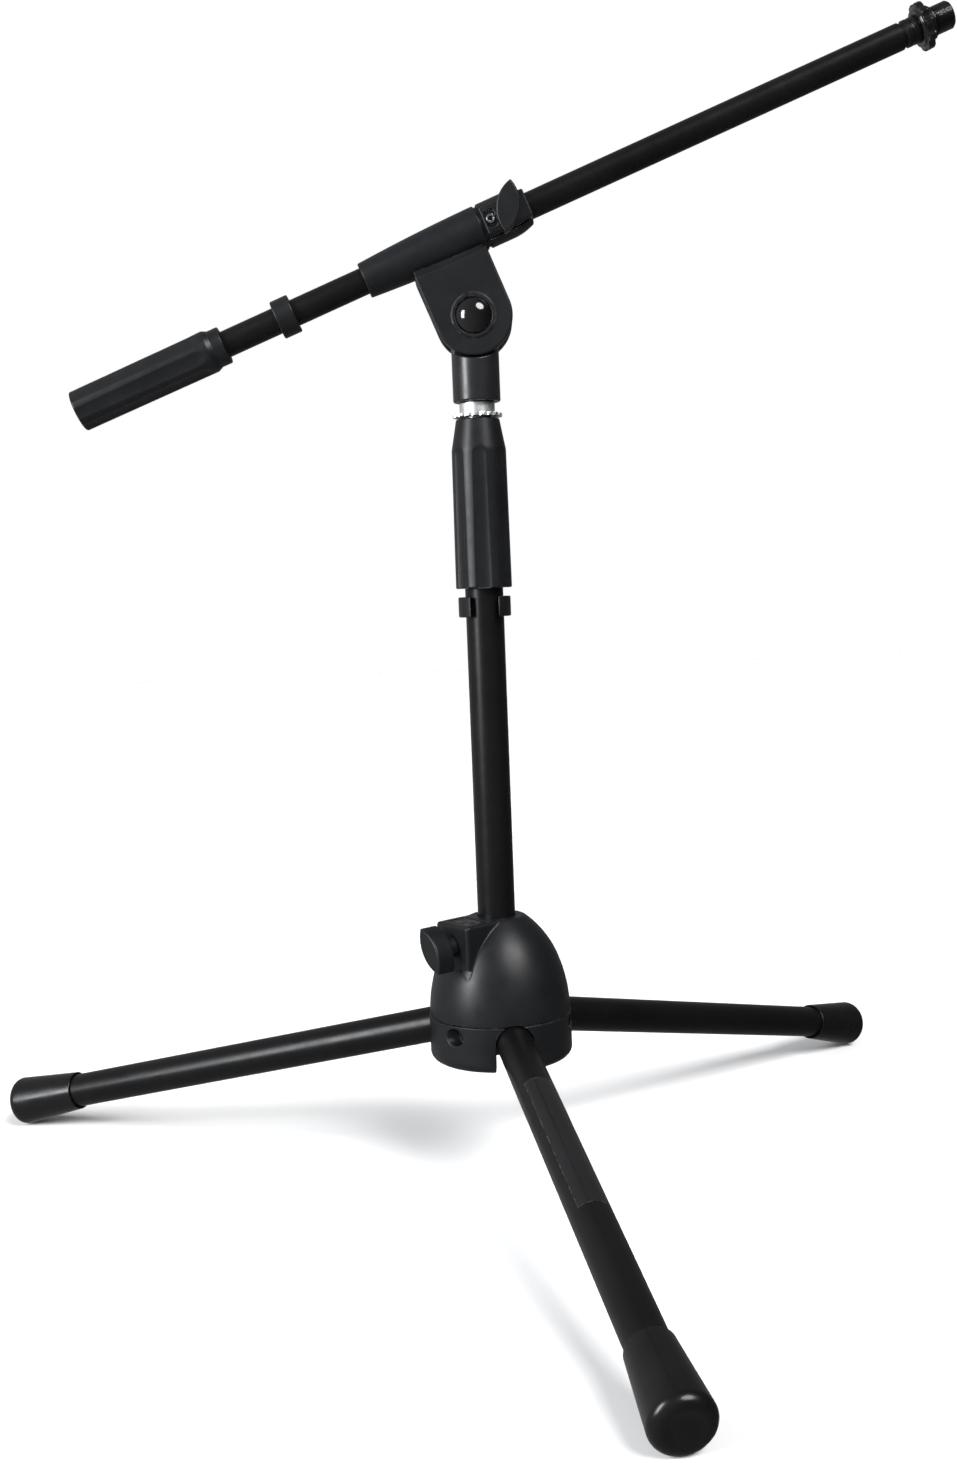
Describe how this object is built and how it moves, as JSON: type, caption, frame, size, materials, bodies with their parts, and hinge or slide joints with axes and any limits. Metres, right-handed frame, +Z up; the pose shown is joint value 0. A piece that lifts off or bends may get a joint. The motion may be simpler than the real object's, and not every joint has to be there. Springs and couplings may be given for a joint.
{
  "type": "desktop microphone stand",
  "caption": "Low folding tripod stand with a telescopic column and a counterweighted tilting boom that ends in a threaded stud for a microphone clip.",
  "frame": {"origin": "the point of the floor under the pole's axis, with all three boots resting on Z = 0", "axes": "+Z up along the pole, +X towards the boom's threaded tip, +Y away from the lock knob's side"},
  "size_m": [0.6004, 0.5688, 0.6583],
  "materials": {
    "powder_coat": "satin black powder coat on steel tube",
    "charcoal_plastic": "fine-textured charcoal plastic",
    "gloss_cap": "polished black plastic",
    "boot_rubber": "semi-gloss black rubber",
    "chrome_plate": "bright chrome plate",
    "bright_steel": "zinc-plated steel",
    "dark_steel": "blackened steel thread",
    "nylon": "moulded nylon",
    "die_cast": "black-painted die casting",
    "weight_iron": "plain cast iron",
    "label_film": "thin blank satin film"
  },
  "bodies": {
    "hub": {"hub_dome": "charcoal_plastic", "hub_ring": "charcoal_plastic", "leg_bracket": "die_cast", "hub_screws": "bright_steel", "leg_pivot_bolts": "bright_steel", "hub_top_panel": "charcoal_plastic", "hub_clamp_shoe": "nylon", "hub_clamp_nut": "bright_steel"},
    "hub_clamp_wing": {"hub_clamp_knob": "charcoal_plastic", "hub_clamp_screw": "bright_steel"},
    "pole": {"main_tube": "powder_coat", "pole_end_cap": "nylon", "clutch_bush": "nylon", "clutch_collet": "nylon"},
    "pole_clip": {"pole_cable_clip": "charcoal_plastic"},
    "grip": {"clutch_grip": "charcoal_plastic"},
    "mast": {"inner_tube": "powder_coat", "guide_bush": "nylon", "mast_stud": "bright_steel"},
    "lock_ring": {"column_lock_ring": "chrome_plate"},
    "swivel": {"swivel_socket": "die_cast"},
    "boom_head": {"boom_clamp_body": "charcoal_plastic", "boom_lock_collar": "charcoal_plastic", "collar_set_screw": "bright_steel", "boom_lock_shoe": "nylon", "pivot_bolt": "bright_steel", "pivot_cap": "gloss_cap", "friction_washers": "nylon", "pivot_washer": "bright_steel"},
    "pivot_wing": {"pivot_knob": "charcoal_plastic"},
    "boom_lock_wing": {"boom_lock_knob": "charcoal_plastic", "boom_lock_screw": "bright_steel"},
    "boom_sleeve": {"boom_liner": "nylon"},
    "boom": {"boom_tube": "powder_coat", "tip_thread_stud": "dark_steel", "counterweight_cover": "charcoal_plastic", "counterweight_core": "weight_iron", "counterweight_plug": "nylon"},
    "boom_clip": {"boom_cable_clip": "charcoal_plastic"},
    "tip_ring": {"tip_lock_nut": "gloss_cap", "tip_washer": "dark_steel"},
    "leg_front": {"leg_tube_front": "powder_coat", "leg_plug_front": "nylon", "foot_boot_front": "boot_rubber", "leg_label": "label_film"},
    "leg_right": {"leg_tube_right": "powder_coat", "leg_plug_right": "nylon", "foot_boot_right": "boot_rubber"},
    "leg_left": {"leg_tube_left": "powder_coat", "leg_plug_left": "nylon", "foot_boot_left": "boot_rubber"}
  },
  "joints": [
    {"name": "leg_fold_front", "type": "hinge", "parent": "hub", "child": "leg_front", "pos_m": [0.00503, -0.02551, 0.08656], "axis": [0.9811, 0.1934, 0], "range_deg": [0, 76]},
    {"name": "leg_fold_right", "type": "hinge", "parent": "hub", "child": "leg_right", "pos_m": [0.01958, 0.01711, 0.08656], "axis": [-0.658, 0.753, 0], "range_deg": [0, 76]},
    {"name": "leg_fold_left", "type": "hinge", "parent": "hub", "child": "leg_left", "pos_m": [-0.02461, 0.0084, 0.08656], "axis": [-0.3231, -0.9464, 0], "range_deg": [0, 76]},
    {"name": "hub_clamp_turn", "type": "hinge", "parent": "hub", "child": "hub_clamp_wing", "pos_m": [0, 0, 0.1375], "axis": [-0.753, -0.658, 0], "continuous": true},
    {"name": "pole_slide", "type": "slide", "parent": "hub", "child": "pole", "axis": [0, 0, 1], "range_m": [-0.06, 0.04]},
    {"name": "pole_clip_slide", "type": "slide", "parent": "pole", "child": "pole_clip", "axis": [0, 0, 1], "range_m": [-0.1, 0.004]},
    {"name": "grip_turn", "type": "hinge", "parent": "pole", "child": "grip", "pos_m": [0, 0, 0.39], "axis": [0, 0, 1], "continuous": true},
    {"name": "mast_slide", "type": "slide", "parent": "pole", "child": "mast", "axis": [0, 0, 1], "range_m": [0, 0.2]},
    {"name": "lock_ring_turn", "type": "hinge", "parent": "mast", "child": "lock_ring", "pos_m": [0, 0, 0.443], "axis": [0, 0, 1], "continuous": true},
    {"name": "swivel_turn", "type": "hinge", "parent": "mast", "child": "swivel", "pos_m": [0, 0, 0.455], "axis": [0, 0, 1], "continuous": true},
    {"name": "boom_tilt", "type": "hinge", "parent": "swivel", "child": "boom_head", "pos_m": [0, 0, 0.4944], "axis": [0, 1, 0], "range_deg": [-50, 93]},
    {"name": "pivot_knob_turn", "type": "hinge", "parent": "boom_head", "child": "pivot_wing", "pos_m": [0, 0.02, 0.4944], "axis": [0, 1, 0], "continuous": true},
    {"name": "boom_lock_turn", "type": "hinge", "parent": "boom_head", "child": "boom_lock_wing", "pos_m": [0.02127, 0, 0.55092], "axis": [0, -1, 0], "continuous": true},
    {"name": "boom_roll", "type": "hinge", "parent": "boom_head", "child": "boom_sleeve", "pos_m": [0, 0, 0.54243], "axis": [0.9287, 0, 0.3709], "continuous": true},
    {"name": "boom_slide", "type": "slide", "parent": "boom_sleeve", "child": "boom", "axis": [0.9287, 0, 0.3709], "range_m": [-0.2, 0.04]},
    {"name": "boom_clip_slide", "type": "slide", "parent": "boom", "child": "boom_clip", "axis": [0.9287, 0, 0.3709], "range_m": [-0.028, 0]},
    {"name": "tip_ring_turn", "type": "hinge", "parent": "boom", "child": "tip_ring", "pos_m": [0.25632, 0, 0.64479], "axis": [0.9287, 0, 0.3709], "continuous": true}
  ]
}
